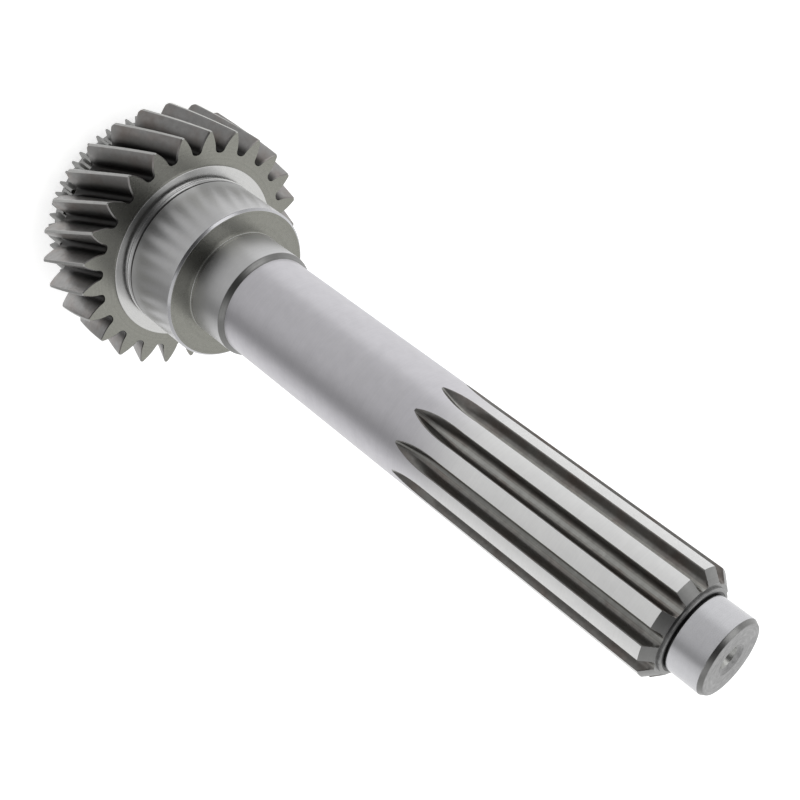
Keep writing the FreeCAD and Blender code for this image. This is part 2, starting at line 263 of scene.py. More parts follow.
# %% [markdown]
# Grey paper for the reflections
#
# A photographer sets grey and black paper round bright metal, out of the picture, and the
# metal shows it as soft dark streaks. The side of an upright shaft reflects a ring of
# directions that all slope down to the floor, so two sheets lie on the floor: the gear's
# end of the shaft shows the near one and the pilot's end the far one. The chamfers look up
# at a paper wall that leans in over the camera, and the flange sees the same wall by way
# of the neck. The papers are rings about the shaft, and their grey goes by the direction
# from the shaft. Only glossy rays meet them.

# %% Greys of the paper
# Direction in degrees, 0 along +X and 90 along +Y, and the grey there.
NEAR_GREYS = [(-180, 1.0), (-163, 0.98), (-150, 0.70), (-85, 0.67), (-60, 0.54), (-42, 0.33),
              (-28, 0.31), (-14, 0.62), (5, 0.88), (25, 1.0), (180, 1.0)]
FAR_GREYS = [(-180, 1.0), (-163, 0.98), (-140, 0.72), (-85, 0.67), (-68, 0.56), (-54, 0.40),
             (-44, 0.40), (-30, 0.75), (-5, 0.95), (25, 1.0), (180, 1.0)]
WALL_GREYS = [(-180, 0.52), (-150, 0.36), (-110, 0.06), (-86, 0.07), (-55, 0.28),
              (-10, 0.55), (40, 0.9), (80, 1.0), (135, 0.95), (180, 0.52)]

# Radius and height of the circles that bound the sheets.
NEAR_EDGE, MIDDLE_EDGE, FAR_EDGE, WALL_TOP = (62.0, 1.0), (650.0, 1.0), (2400.0, 1.0), (400.0, 3400.0)
print("stops of grey:", len(NEAR_GREYS), len(FAR_GREYS), len(WALL_GREYS))

# %% [markdown]
# The grey of a paper is a colour ramp over the turn about the shaft. The turn is the arc
# tangent of the object coordinates, so it needs no UV map. Both ends of the ramp meet at
# the same direction and have the same grey.

# %% Grey paper
PAPER_STEPS = 96


def place_on_turn(direction):
    """Where a direction in degrees lies on the ramp, from 0 to 1."""
    return (direction + 180) / 360


def grey_by_direction(name, greys):
    """A glowing material whose grey follows the direction from the shaft."""
    material = bpy.data.materials.new(name)
    tree = blank_tree(material)
    parts = add(tree, "SeparateXYZ", {0: add(tree, "TexCoord").outputs["Object"]})
    angle = add(tree, "Math", {0: parts.outputs[1], 1: parts.outputs[0]}, operation="ARCTAN2")
    turn = add(tree, "MapRange", {0: angle.outputs[0], 1: -math.pi, 2: math.pi, 3: 0.0, 4: 1.0})
    ramp = add(tree, "ValToRGB", {0: turn.outputs[0]})
    stops = ramp.color_ramp.elements
    for direction, grey in greys[1:-1]:
        stops.new(place_on_turn(direction))
    for stop, (direction, grey) in zip(stops, greys):
        stop.position = place_on_turn(direction)
        stop.color = (grey, grey, grey, 1)
    glow = add(tree, "Emission", {"Color": ramp.outputs[0], "Strength": 1.0})
    add(tree, "OutputMaterial", {"Surface": glow.outputs[0]})
    return material


def ring_paper(name, start, end, greys):
    """Paper between two circles (radius, height): a grid of two rows, grey by direction."""
    angles = np.linspace(-math.pi, math.pi, PAPER_STEPS, endpoint=False)
    ring = np.stack([np.cos(angles), np.sin(angles), 0 * angles], axis=-1)
    points = np.concatenate([ring * start[0] + [0, 0, start[1]], ring * end[0] + [0, 0, end[1]]])
    first = np.arange(PAPER_STEPS)
    after = (first + 1) % PAPER_STEPS
    faces = np.stack([first, first + PAPER_STEPS, after + PAPER_STEPS, after], axis=1)
    mesh = bpy.data.meshes.new(name)
    mesh.from_pydata((points * MM).tolist(), [], faces.tolist())
    mesh.materials.append(grey_by_direction(name, greys))
    paper = put(name, mesh)
    for ray in ("camera", "diffuse", "shadow", "transmission"):
        setattr(paper, "visible_" + ray, False)
    print(name, "has", len(faces), "faces")


ring_paper("near_paper", NEAR_EDGE, MIDDLE_EDGE, NEAR_GREYS)
ring_paper("far_paper", MIDDLE_EDGE, FAR_EDGE, FAR_GREYS)
ring_paper("wall_paper", FAR_EDGE, WALL_TOP, WALL_GREYS)

# %% [markdown]
# Surfaces as grids
#
# Every piece is a sheet of points with rows along the shaft and columns round it. The
# sheet closes on itself round the shaft, and each end closes in a single point on the
# axis, so the piece is a watertight solid. Blender's Spin tool turns a profile too, but a
# grid of our own also carries teeth, splines and a twist, and knows which row and column
# each face came from, which is how the finishes are handed out.


# %% Faces of a grid
def grid_faces(rows, columns, closed_along):
    """Quads of a grid that closes round the shaft, and along it too if asked.

    The corners of the quad (row, column) are the points (row, column), (row, column + 1),
    (row + 1, column + 1) and (row + 1, column), counted on round the ends.
    """
    bands = rows if closed_along else rows - 1
    row, column = np.meshgrid(np.arange(bands), np.arange(columns), indexing="ij")
    beside, above = (column + 1) % columns, (row + 1) % rows
    return np.stack([row * columns + column, row * columns + beside,
                     above * columns + beside, above * columns + column], axis=-1).reshape(-1, 4)


def end_faces(rows, columns):
    """Triangles from the first and the last row to two poles, the last points of the piece."""
    ring = np.arange(columns)
    after, top = (ring + 1) % columns, (rows - 1) * columns
    low, high = np.full(columns, rows * columns), np.full(columns, rows * columns + 1)
    return np.concatenate([np.stack([low, after, ring], axis=1),
                           np.stack([high, top + ring, top + after], axis=1)])


# %% [markdown]
# The mesh of a piece is made in one go from all its points, faces and steels. Edges that
# bend by more than SHARP_ANGLE stay sharp. The frame's calls say which body the piece rides
# on and that it takes the place of the coarse CAD mesh.

# %% Grid to mesh
SHARP_ANGLE = 32.0


def grid_piece(name, points, finishes, finish_of, poles=None):
    """A closed piece from points of shape (rows, columns, 3) in mm.

    Rows run from the lower end of the outline to its upper end, columns run
    counter-clockwise. poles are the heights of the two closing points on the axis. Without
    them the last row joins the first, which makes a ring. finish_of holds, for each face,
    the place of its material in finishes.
    """
    rows, columns = points.shape[:2]
    faces, marks = grid_faces(rows, columns, poles is None).tolist(), [finish_of.ravel()]
    places = points.reshape(-1, 3)
    if poles is not None:
        faces += end_faces(rows, columns).tolist()
        marks += [finish_of[0], finish_of[-1]]
        places = np.concatenate([places, [(0, 0, poles[0]), (0, 0, poles[1])]])
    mesh = bpy.data.meshes.new(name)
    mesh.from_pydata((places * MM).tolist(), [], faces)
    for material in finishes:
        mesh.materials.append(material)
    mesh.polygons.foreach_set("material_index", np.concatenate(marks).astype(np.int32))
    mesh.shade_smooth()
    mesh.set_sharp_from_angle(angle=math.radians(SHARP_ANGLE))
    piece = put(name, mesh)
    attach(piece, "root")
    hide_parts("input_pinion")
    print(name, "has", sum(len(face.vertices) - 2 for face in mesh.polygons), "triangles")


# %% [markdown]
# Rounded outlines
#
# A turned part has no truly sharp edge: the tool leaves a radius or a small break of one
# or two tenths, and that thin band is what glints. An outline is a list of corners with
# the length that is cut off on each side. A short parabola replaces the corner, and a
# point just before and after it keeps the smooth shading of the long walls straight.

# %% Outline with rounded corners
BREAK = 0.25
CORNER_STEPS = 5
HOLD = 0.12
LONGEST_CUT, LONGEST_HOLD = 0.4, 0.2


def rounded(corners):
    """The outline through corners (radius, height, cut, finish) with parabolas at the corners.

    At a corner C with unit directions a before and b after it, the parabola is
    (1-t)^2 (C - cut a) + 2 t (1-t) C + t^2 (C + cut b). A cut takes at most the share
    LONGEST_CUT of a wall. Returns the points and the finish that starts at each of them.
    """
    where = np.array([corner[:2] for corner in corners], float)
    points, finishes = [where[0]], [corners[0][3]]
    for before, here, after, (_, _, cut, finish) in zip(where, where[1:], where[2:], corners[1:]):
        came, goes = here - before, after - here
        came_far, goes_far = np.linalg.norm(came), np.linalg.norm(goes)
        came, goes = came / came_far, goes / goes_far
        cut = min(cut, LONGEST_CUT * came_far, LONGEST_CUT * goes_far)
        hold = min(HOLD, LONGEST_HOLD * came_far, LONGEST_HOLD * goes_far)
        last = finishes[-1]
        points.append(here - came * (cut + hold))
        finishes.append(last)
        start, end = here - came * cut, here + goes * cut
        for t in np.linspace(0, 1, CORNER_STEPS) if cut > 0 else [0.0]:
            points.append((1 - t) ** 2 * start + 2 * t * (1 - t) * here + t ** 2 * end)
            finishes.append(last if t < 0.5 else finish)
        points.append(here + goes * (cut + hold))
        finishes.append(finish)
    points.append(where[-1])
    finishes.append(corners[-1][3])
    return np.array(points), finishes


# %% [markdown]
# Turning an outline
#
# A turned piece is its outline carried round the axis. The first and the last corner of
# the outline lie on the axis, so they become the poles that close the piece.

# %% Turned outline
AROUND = 240


def revolve(name, corners, finishes):
    """Turns a rounded outline: the point at (u, angle) is (r(u) cos angle, r(u) sin angle, z(u))."""
    outline, names = rounded(corners)
    angles = np.linspace(0, 2 * math.pi, AROUND, endpoint=False)
    radius, height = outline[1:-1, :1], outline[1:-1, 1:]
    points = np.stack([radius * np.cos(angles), radius * np.sin(angles), height + 0 * angles], axis=-1)
    order = sorted(set(names))
    finish_of = np.array([order.index(name) for name in names[1:-2]])[:, None] + np.zeros(AROUND, int)
    grid_piece(name, points, [finishes[key] for key in order], finish_of,
               poles=(corners[0][1], corners[-1][1]))


# %% [markdown]
# Patterns that follow the lathe
#
# A turned face shows fine rings. They come from a noise that reads only the height along
# the shaft and the distance from its axis, so it has one value all the way round. A second
# noise reads the place itself and gives the soft spots that break up the mirror. Image
# textures could do this too, but a noise on object coordinates has no seams.


# %% Lathe rings and spots
NOISE_LOW, NOISE_HIGH = 0.3, 0.7


def around_axis(tree):
    """Sockets for the place on the object, its distance from the axis and its height."""
    place = add(tree, "TexCoord").outputs["Object"]
    parts = add(tree, "SeparateXYZ", {0: place})
    flat = add(tree, "CombineXYZ", {0: parts.outputs[0], 1: parts.outputs[1]})
    radius = add(tree, "VectorMath", {0: flat.outputs[0]}, operation="LENGTH").outputs["Value"]
    return place, radius, parts.outputs[2]


def dimmed(tree, noise, share):
    """1 - share where the noise is low, up to 1 where it is high."""
    level = add(tree, "MapRange", {0: noise.outputs[0], 1: NOISE_LOW, 2: NOISE_HIGH, 3: 1 - share, 4: 1.0})
    return level.outputs[0]


def times(tree, first, second):
    """The product of two values."""
    return add(tree, "Math", {0: first, 1: second}, operation="MULTIPLY").outputs[0]


def uneven(tree, place, radius, height, rings, ring_step, mottle, mottle_size):
    """A level up to 1: rings that lie ring_step mm apart times spots of mottle_size mm."""
    lathe = add(tree, "CombineXYZ", {0: radius, 2: height})
    ring_noise = add(tree, "TexNoise", {"Vector": lathe.outputs[0], "Scale": 1 / (ring_step * MM),
                                        "Detail": 2.0, "Roughness": 0.6})
    spot_noise = add(tree, "TexNoise", {"Vector": place, "Scale": 1 / (mottle_size * MM),
                                        "Detail": 5.0, "Roughness": 0.65})
    return times(tree, dimmed(tree, ring_noise, rings), dimmed(tree, spot_noise, mottle))


def ease(tree, value, low, high, start=0.0, end=1.0):
    """Goes smoothly from start to end while the value goes from low to high, both in mm."""
    step = add(tree, "MapRange", {0: value, 1: low * MM, 2: high * MM, 3: start, 4: end},
               interpolation_type="SMOOTHSTEP")
    return step.outputs[0]


def mixed(tree, share, first, second, **settings):
    """Two colours mixed by a share. Each may be a value or a socket."""
    return add(tree, "Mix", {0: share, 6: first, 7: second}, data_type="RGBA", **settings).outputs[2]


# %% [markdown]
# Steel
#
# Every finish is bare steel, so Metallic is 1 and the base colour is the tint of its
# reflection. What changes is the roughness, the mottling and the rings. Anisotropy
# stretches a highlight across the rings, as on a real ground journal. The one exception
# is the splined end of the shaft: its lands are matt and scatter light like a grey paint,
# so there the metallic value falls below 1.

# %% Steel material
PATCH_SIZE, PATCH_LOW, PATCH_HIGH = 9.0, 0.45, 0.7
RING_TURN = 0.25


def opaque(colour):
    """A colour with full alpha, as the sockets want it."""
    return tuple(colour) + (1,)


def steel(name, colour, roughness, mottle=0.0, mottle_size=3.0, rings=0.0, ring_step=0.35,
          grain=0.0, tint=None, tint_amount=0.0, anisotropic=0.0, root_shade=None, toward=None):
    """A steel material.

    mottle is the share by which soft spots darken the colour, rings the share by which
    lathe rings do, and grain is how far the same patterns move the roughness. tint is a
    second colour that shows in patches. root_shade is (radius, level, radius, level):
    painted shade, the colour's level between two distances from the axis, in mm. toward
    is (height, height, colour, roughness, metallic): between two heights the finish turns
    into another one.
    """
    material = bpy.data.materials.new(name)
    tree = blank_tree(material)
    surface = add(tree, "BsdfPrincipled", {"Metallic": 1.0, "Roughness": roughness})
    add(tree, "OutputMaterial", {"Surface": surface.outputs[0]})
    if anisotropic:
        around = add(tree, "Tangent", direction_type="RADIAL", axis="Z")
        surface.inputs["Anisotropic"].default_value = anisotropic
        surface.inputs["Anisotropic Rotation"].default_value = RING_TURN
        tree.links.new(around.outputs[0], surface.inputs["Tangent"])
    place, radius, height = around_axis(tree)
    level = uneven(tree, place, radius, height, rings, ring_step, mottle, mottle_size)
    base, rough = opaque(colour), roughness
    if grain:
        rough = add(tree, "MapRange", {0: level, 1: 1 - mottle - rings, 2: 1.0,
                                       3: roughness + grain, 4: roughness}).outputs[0]
        tree.links.new(rough, surface.inputs["Roughness"])
    # Painted shade: the colour is dimmed between the two radii, darkest towards the axis.
    if root_shade:
        near, near_level, far, far_level = root_shade
        level = times(tree, level, ease(tree, radius, near, far, near_level, far_level))
    if tint:
        patch = add(tree, "TexNoise", {"Vector": place, "Scale": 1 / (PATCH_SIZE * MM), "Detail": 3.0})
        share = add(tree, "MapRange", {0: patch.outputs[0], 1: PATCH_LOW, 2: PATCH_HIGH,
                                       3: 0.0, 4: tint_amount})
        base = mixed(tree, share.outputs[0], base, opaque(tint))
    if toward:
        low, high, far_colour, far_roughness, far_metallic = toward
        climb = ease(tree, height, low, high)
        change = add(tree, "Mix", {0: climb, 2: rough, 3: far_roughness}, data_type="FLOAT")
        tree.links.new(change.outputs[0], surface.inputs["Roughness"])
        metal = add(tree, "MapRange", {0: climb, 3: 1.0, 4: far_metallic})
        tree.links.new(metal.outputs[0], surface.inputs["Metallic"])
        base = mixed(tree, climb, base, opaque(far_colour))
    shaded = mixed(tree, 1.0, base, level, blend_type="MULTIPLY")
    tree.links.new(shaded, surface.inputs["Base Color"])
    return material


# %% [markdown]
# Ground and turned finishes
#
# Journals and seats are ground and bright, the plain shaft is satin and turns into matt
# lands between heights 200 and 238, and chamfers are plainly turned and darker. The end
# face of the pilot is mottled, and the groove beside it is nearly black with painted
# shade. Grooves, holes and hollows take this painted shade, and small edges and fillets a
# painted highlight.

# %% Finishes of the turned pieces
MATT_LANDS = (200.0, 238.0, (0.80, 0.80, 0.795), 0.42, 0.45)

GROUND = steel("ground_journal", (0.60, 0.60, 0.62), 0.2, mottle=0.04, mottle_size=2.0,
               rings=0.05, ring_step=0.6, grain=0.04, anisotropic=0.35)
SEAT = steel("ground_seat", (0.64, 0.64, 0.645), 0.3, mottle=0.04, mottle_size=2.0,
             rings=0.04, ring_step=0.6, grain=0.04, anisotropic=0.8)
SATIN = steel("satin_shaft", (0.64, 0.63, 0.66), 0.33, mottle=0.06, mottle_size=5.0,
              rings=0.04, ring_step=0.8, grain=0.06, anisotropic=0.3, toward=MATT_LANDS)
TURNED = steel("turned_edge", (0.30, 0.30, 0.295), 0.28, mottle=0.12, rings=0.15,
               ring_step=0.3, grain=0.08, anisotropic=0.3)
FACE = steel("turned_face", (0.40, 0.40, 0.40), 0.3, mottle=0.3, mottle_size=1.5,
             rings=0.25, ring_step=0.5, grain=0.12, anisotropic=0.3)
# Painted shade: a near-black steel for grooves, holes and hollows.
RECESS_SHADE = steel("recess_painted_shade", (0.10, 0.10, 0.098), 0.42, mottle=0.2, rings=0.2, ring_step=0.3)
# Painted highlight: a steel lighter than the rest, for small edges and fillets that catch light.
EDGE_HIGHLIGHT = steel("edge_painted_highlight", (0.78, 0.78, 0.79), 0.22, mottle=0.05, rings=0.08, ring_step=0.4)
SHOULDER_FACE = steel("ground_shoulder", (0.66, 0.66, 0.65), 0.2, mottle=0.05, rings=0.06,
                      ring_step=0.5, grain=0.04, anisotropic=0.3)
CENTRE = steel("centre_hole", (0.60, 0.605, 0.585), 0.36, mottle=0.2, rings=0.15, ring_step=0.25)
OLIVE = steel("gear_body", (0.30, 0.30, 0.27), 0.22, mottle=0.12, mottle_size=1.2,
              rings=0.08, ring_step=0.9, grain=0.08, anisotropic=0.2)

TURNED_FINISHES = {"ground": GROUND, "seat": SEAT, "face": FACE, "turned": TURNED, "dark": RECESS_SHADE,
                   "bright": EDGE_HIGHLIGHT, "olive": OLIVE, "centre": CENTRE, "shoulder": SHOULDER_FACE}
print("turned finishes:", len(TURNED_FINISHES))

# %% [markdown]
# Cut finishes
#
# The spline spaces and the tooth flanks keep the colour of the hardened skin, an olive
# grey with brown patches. Over it, the middle of a space's floor is lightened as a painted
# highlight, and its fillets and walls are darkened as painted shade. The flanks get painted
# shade near the root, where little light comes, and the crests of the gear are turned bright.

# %% Finishes of the spaces and teeth
# Painted highlight on the middle of a space's floor, painted shade on its fillets and walls.
FLOOR_HIGHLIGHT = steel("space_floor_painted_highlight", (0.42, 0.42, 0.40), 0.26, mottle=0.2, mottle_size=2.5, grain=0.1)
FILLET_SHADE = steel("space_fillet_painted_shade", (0.32, 0.315, 0.295), 0.28, mottle=0.2, mottle_size=2.5,
                   grain=0.1, tint=(0.24, 0.20, 0.18), tint_amount=0.6)
WALL_SHADE = steel("space_wall_painted_shade", (0.25, 0.245, 0.235), 0.28, mottle=0.2, mottle_size=2.5,
             grain=0.1, tint=(0.20, 0.165, 0.15), tint_amount=0.7)
# The flanks are darkened towards the root as painted shade, over their own tint.
FLANK = steel("tooth_flank", (0.36, 0.355, 0.35), 0.32, mottle=0.15, mottle_size=2.0, grain=0.1,
              tint=(0.29, 0.24, 0.215), tint_amount=0.55, root_shade=(46.4, 0.08, 52.0, 1.0))
CREST = steel("tooth_crest", (0.60, 0.60, 0.585), 0.32, mottle=0.12, rings=0.12,
              ring_step=0.4, grain=0.1)
print("materials so far:", len(bpy.data.materials))

# %% [markdown]
# The hub
#
# The hub is hidden under the gear. It is a plain ring round the bore that takes the end of
# the main shaft, and a core that fills the gear from inside. Like every turned piece it is
# a list of corners, and each corner names the finish of the wall that starts there.

# %% Hub
CORE_TOP = 42.0
BORE_MOUTH, HUB_EDGE, HUB_LAP = 1.5, 0.8, 0.4
# Corners named dark carry painted shade, and corners named bright a painted highlight.
revolve("hub", [
    (0, BORE_DEPTH + BORE_CONE, 0, "dark"),
    (BORE_RADIUS, BORE_DEPTH, 0.3, "ground"),
    (BORE_RADIUS, BORE_MOUTH, BREAK, "bright"),
    (BORE_RADIUS + BORE_MOUTH, 0, BREAK, "turned"),
    (HUB_RADIUS - HUB_EDGE, 0, BREAK, "bright"),
    (HUB_RADIUS, HUB_EDGE, BREAK, "turned"),
    (HUB_RADIUS, HUB_TOP + HUB_LAP, 0, "turned"),
    (GROOVE_RADIUS, HUB_TOP + HUB_LAP, 0, "dark"),
    (GROOVE_RADIUS, CORE_TOP, 0, "dark"),
    (0, CORE_TOP, 0, "dark"),
], TURNED_FINISHES)

# %% [markdown]
# The bearing seat
#
# The ground shoulder stops the bearing. A grinding wheel can't reach into a corner, so a
# small relief lies between shoulder and seat, with a fillet made bright by a painted
# highlight and a slope made dark by painted shadow. In front the seat ends in a chamfer
# and a flat face, from which the neck rises.

# %% Bearing seat
RELIEF_RADIUS, RELIEF_TOP = SEAT_RADIUS - 0.6, SHOULDER + 1.8
RELIEF_END, SEAT_START = RELIEF_TOP + 0.9, RELIEF_TOP + 1.6
SEAT_FOOT = CORE_TOP - 1.0
NECK_FOOT = SEAT_FRONT + 1.7
# Corners named bright carry the painted highlight: the shoulder's outer edge, the relief's fillet and the
# neck's foot. Corners named dark carry painted shade.
revolve("bearing_seat", [
    (0, SEAT_FOOT, 0, "dark"),
    (SHOULDER_RADIUS, SEAT_FOOT, 0, "bright"),
    (SHOULDER_RADIUS, SHOULDER, BREAK, "shoulder"),
    (RELIEF_RADIUS, SHOULDER, 0.6, "bright"),
    (RELIEF_RADIUS, RELIEF_TOP, 0.15, "dark"),
    (SEAT_RADIUS, RELIEF_END, BREAK, "dark"),
    (SEAT_RADIUS, SEAT_START, 0, "seat"),
    (SEAT_RADIUS, SEAT_FRONT - SEAT_CHAMFER, 0.2, "ground"),
    (SEAT_RADIUS - SEAT_CHAMFER, SEAT_FRONT, 0.2, "olive"),
    (NECK_RADIUS, SEAT_FRONT, 0.5, "bright"),
    (NECK_RADIUS, NECK_FOOT, 0, "dark"),
    (0, NECK_FOOT, 0, "dark"),
], TURNED_FINISHES)

# %% [markdown]
# The pilot
#
# The pilot runs in the flywheel's bearing. It starts behind a collar and a groove, and
# ends in a slender lead-in and a flat face. The centre hole holds the shaft in the lathe:
# a 60 degree cone from the drill, and a wider cone that guards its rim.

# %% Pilot
PILOT_FOOT = SPLINE_FRONT - 1.6
COLLAR_STEP, PILOT_GROOVE, GROOVE_EDGE = 0.9, 0.8, 0.2
LEAD_IN_LENGTH, LEAD_IN_DEPTH = 1.6, 0.95
GUARD_RADIUS, CONE_RADIUS, DRILL_RADIUS = 6.25, 4.25, 2.0
CONE_RIM = PILOT_FRONT - (GUARD_RADIUS - CONE_RADIUS) / math.tan(math.radians(60))
CONE_FOOT = CONE_RIM - (CONE_RADIUS - DRILL_RADIUS) / math.tan(math.radians(30))
DRILL_FLOOR = PILOT_FRONT - 11.0
# Corners named dark paint the groove at the collar and the drill hole with shade.
revolve("pilot", [
    (0, PILOT_FOOT, 0, "dark"),
    (COLLAR_RADIUS, PILOT_FOOT, 0, "face"),
    (COLLAR_RADIUS, COLLAR_FRONT, 0.5, "turned"),
    (PILOT_RADIUS + COLLAR_STEP, COLLAR_FRONT, 0, "dark"),
    (PILOT_RADIUS - PILOT_GROOVE, COLLAR_FRONT, 0.1, "dark"),
    (PILOT_RADIUS - PILOT_GROOVE, PILOT_START - GROOVE_EDGE, 0.1, "turned"),
    (PILOT_RADIUS, PILOT_START, BREAK, "ground"),
    (PILOT_RADIUS, PILOT_FRONT - LEAD_IN_LENGTH, 0.2, "turned"),
    (PILOT_RADIUS - LEAD_IN_DEPTH, PILOT_FRONT, 0.2, "face"),
    (GUARD_RADIUS, PILOT_FRONT, 0.12, "face"),
    (CONE_RADIUS, CONE_RIM, 0.1, "centre"),
    (DRILL_RADIUS, CONE_FOOT, 0.1, "dark"),
    (DRILL_RADIUS, DRILL_FLOOR, 0, "dark"),
    (0, DRILL_FLOOR, 0, "dark"),
], TURNED_FINISHES)

# %% [markdown]
# The shape of a spline space
#
# The shaft is its turned outline with ten spaces cut into it. A space has a flat floor, a
# fillet, a sloping flank and an edge with a small break. The teeth have parallel sides, so
# the flank leans by half the pitch angle against the middle of the space, and the width of
# the floor follows from the tooth's width on the root circle. Near its tip the cutter is
# narrower and flatter, so towards the run-out's tip the floor narrows and the flank leans
# further out.

# %% Sizes of the spaces
SPACE_HALF = round(SPLINE_ROOT * math.sin(
    math.pi / SPLINE_COUNT - math.asin(SPLINE_TOOTH / 2 / SPLINE_ROOT)), 2)
TIP_HALF = 0.5
STRAIGHT_FLANK, TIP_FLANK = 180.0 / SPLINE_COUNT, 44.0
SPLINE_FILLET, SPLINE_EDGE = 1.9, 0.4
FILLET_OF_FLOOR, FILLET_OF_FLANK, EDGE_OF_FLANK = 0.88, 0.6, 0.3
JUST_INSIDE = 0.99999994
MIDDLE_COLUMNS, FILLET_COLUMNS, FLANK_COLUMNS, EDGE_COLUMNS, LAND_COLUMNS = 2, 8, 4, 4, 10
FLOOR_HEIGHT = math.sqrt(SPLINE_ROOT ** 2 - SPACE_HALF ** 2)
TIP_BACK = math.sqrt(CUTTER_RADIUS ** 2 - (CUTTER_RADIUS - SHAFT_RADIUS + FLOOR_HEIGHT) ** 2)
print("half a space's floor:", SPACE_HALF, "run-out:", round(TIP_BACK, 2))

# %% [markdown]
# Lines and bends
#
# The outline of a space is put together from straight lines and bends, for all rows along
# the shaft at once.


# %% Lines and bends
def bend(before, corner, after, steps):
    """Points on the parabola (1-t)^2 before + 2 t (1-t) corner + t^2 after, without its ends."""
    t = np.linspace(0, 1, steps + 2)[1:-1, None]
    before, corner, after = before[..., None, :], corner[..., None, :], after[..., None, :]
    return (1 - t) ** 2 * before + 2 * t * (1 - t) * corner + t ** 2 * after


def line(start, end, steps):
    """Evenly spaced points start + t (end - start), up to but not on the end."""
    t = np.linspace(0, 1, steps, endpoint=False)[:, None]
    return start[..., None, :] + (end - start)[..., None, :] * t


# %% [markdown]
# Half a space
#
# Where the round cutter rises out of the shaft, the floor follows the cutter's circle. It
# is lifted by R - sqrt(R^2 - back^2), with back the distance behind the start of the
# run-out. So each row works out its own outline from its lift. The flank is a straight
# line from the floor's corner, and it meets the shaft's circle where a quadratic equation
# says so.


# %% Half a space
def half_spaces(radius, back):
    """For each row, points (x, y) from the middle of a space to the middle of the land.

    The flank starts at (height, floor) and runs along (1, slope). It meets the circle of
    the radius at the distance t with (height + t)^2 + (floor + slope t)^2 = radius^2.
    """
    lifted = np.clip(back, 0, TIP_BACK)
    lift = CUTTER_RADIUS - np.sqrt(CUTTER_RADIUS ** 2 - lifted ** 2)
    share = np.sin(math.pi / 2 * np.clip(lifted / RUNOUT_LENGTH, 0, 1))
    slope = np.tan(np.radians(STRAIGHT_FLANK + share * (TIP_FLANK - STRAIGHT_FLANK)))
    height = np.minimum(FLOOR_HEIGHT + lift, radius * JUST_INSIDE)
    floor = np.minimum(SPACE_HALF - share * (SPACE_HALF - TIP_HALF), np.sqrt(radius ** 2 - height ** 2))
    a, b, c = 1 + slope ** 2, height + floor * slope, height ** 2 + floor ** 2 - radius ** 2
    reach = (-b + np.sqrt(np.maximum(b ** 2 - a * c, 0))) / a
    corner = np.stack([height, floor], axis=-1)
    ahead = np.stack([np.ones_like(slope), slope], axis=-1)
    top = corner + ahead * reach[:, None]
    length = np.linalg.norm(top - corner, axis=-1)
    ahead = ahead / np.linalg.norm(ahead, axis=-1, keepdims=True)
    fillet = np.minimum(FILLET_OF_FLOOR * floor, FILLET_OF_FLANK * length)
    fillet = np.minimum(SPLINE_FILLET, fillet)[:, None]
    edge = np.minimum(SPLINE_EDGE, EDGE_OF_FLANK * length)[:, None]
    turn = np.arctan2(top[:, 1], top[:, 0]) + edge[:, 0] / radius
    land_start = radius[:, None] * np.stack([np.cos(turn), np.sin(turn)], axis=-1)
    fillet_start, fillet_end = corner - fillet * [0, 1], corner + fillet * ahead
    edge_start = top - edge * ahead
    across = np.linspace(0, 1, LAND_COLUMNS + 1)
    turns = turn[:, None] + (math.pi / SPLINE_COUNT - turn)[:, None] * across
    land = radius[:, None, None] * np.stack([np.cos(turns), np.sin(turns)], axis=-1)
    return np.concatenate([
        line(corner * [1, 0], fillet_start, MIDDLE_COLUMNS), fillet_start[:, None],
        bend(fillet_start, corner, fillet_end, FILLET_COLUMNS),
        line(fillet_end, edge_start, FLANK_COLUMNS), edge_start[:, None],
        bend(edge_start, top, land_start, EDGE_COLUMNS), land,
    ], axis=1)


# %% [markdown]
# Once round the shaft
#
# Splines, gear teeth and dog teeth all repeat one sector. Mirroring a half makes the
# sector, and adding equal turns to its angles carries it round. An Array modifier about an
# empty could repeat it too, but would need its seams merged.


# %% Sectors round the shaft
def mirrored(half):
    """The mirror image of a half, from its far end, followed by the half itself."""
    return np.concatenate([half[:, :0:-1] * [1, -1], half[:, :-1]], axis=1)


def repeat_round(radius, angle, count, start=0.0):
    """Repeats a sector count times: the angles are angle + start + 2 pi k / count."""
    turns = start + 2 * math.pi * np.arange(count) / count
    angle = (angle[:, None, :] + turns[None, :, None]).reshape(len(angle), -1)
    return np.tile(radius, (1, count)), angle


# %% [markdown]
# Rows along the shaft
#
# The rows lie close together where the shape changes: at the corners of the turned
# outline, along the run-out, round its tip and on the front chamfer. Long straight
# stretches need only a few.

# %% Rows along the shaft
SHAFT_FOOT, FOOT_GAP = SEAT_FRONT + 0.5, 0.15
BLEND_LENGTH = 14.0
GAP_AFTER, GAP_BEFORE = 4, 3
PLAIN_ROWS, SPLINE_ROWS = 6, 9
TINY = 1e-6
shaft_outline, _ = rounded([
    (0, SHAFT_FOOT, 0, ""),
    (NECK_RADIUS - FOOT_GAP, SHAFT_FOOT, 0, ""),
    (NECK_RADIUS, NECK_FOOT, 0, ""),
    (NECK_RADIUS, NECK_FRONT, 0.3, ""),
    (SHAFT_RADIUS, SHAFT_START, 0.3, ""),
    (SHAFT_RADIUS, SPLINE_FRONT - SPLINE_CHAMFER, 0.12, ""),
    (SHAFT_RADIUS - SPLINE_CHAMFER, SPLINE_FRONT, 0, ""),
    (0, SPLINE_FRONT, 0, ""),
])
turned_rows = shaft_outline[1:-1]
turned_rows = turned_rows[turned_rows[:, 1] <= SPLINE_FRONT - TINY]
tip_steps = np.concatenate([np.linspace(BLEND_LENGTH, 1.0, 12), [0.3, 0.0, -0.04, -0.12, -0.3, -0.6]])
runout_backs = np.concatenate([TIP_BACK + tip_steps, np.arange(TIP_BACK - 1.0, 0, -0.9), [0.0, -0.4]])
